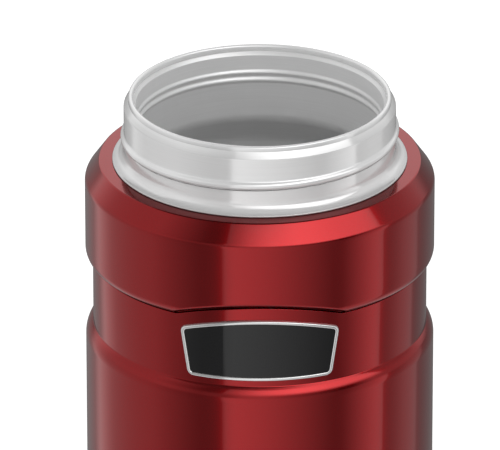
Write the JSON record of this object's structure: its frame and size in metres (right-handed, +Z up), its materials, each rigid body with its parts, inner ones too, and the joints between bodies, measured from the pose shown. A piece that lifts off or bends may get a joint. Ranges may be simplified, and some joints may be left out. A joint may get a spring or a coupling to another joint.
{
  "type": "insulated food jar",
  "caption": "Open wide-mouth vacuum food jar: threaded steel neck, lacquered shoulder collar, narrow waist with a plain framed badge, and a straight double-walled body.",
  "frame": {"origin": "centre of the foot ring's lower face, on the table", "axes": "+Z up along the jar's axis towards the mouth, -Y towards the badge, +X to the right seen from the front"},
  "size_m": [0.104, 0.104, 0.15],
  "materials": {
    "red_shell_lacquer": "gloss clear-coated red metallic lacquer",
    "red_collar_lacquer": "gloss clear-coated red metallic lacquer on a moulding",
    "neck_steel": "satin spun stainless steel",
    "liner_steel": "satin electropolished stainless steel",
    "bottom_steel": "mill-finish stainless steel",
    "cover_steel": "circular-brushed stainless steel",
    "solder": "dull solder",
    "foil": "bright rolled foil",
    "getter_holder_steel": "plain steel",
    "getter": "matt sintered metal",
    "gasket": "matt silicone",
    "foot": "matt silicone",
    "bezel_chrome": "bright plated",
    "badge_enamel": "satin black enamel",
    "adhesive": "acrylic foam tape"
  },
  "bodies": {
    "root": {"neck_ring": "neck_steel", "shoulder_collar": "red_collar_lacquer", "collar_gasket": "gasket", "outer_shell": "red_shell_lacquer", "outer_bottom": "bottom_steel", "evacuation_seal": "solder", "base_cover": "cover_steel", "foot_ring": "foot", "inner_liner": "liner_steel", "liner_bottom": "liner_steel", "radiation_foil": "foil", "getter_cup": "getter_holder_steel", "getter_pellet": "getter", "badge_bezel": "bezel_chrome", "badge_plate": "badge_enamel", "badge_adhesive": "adhesive"}
  },
  "joints": []
}
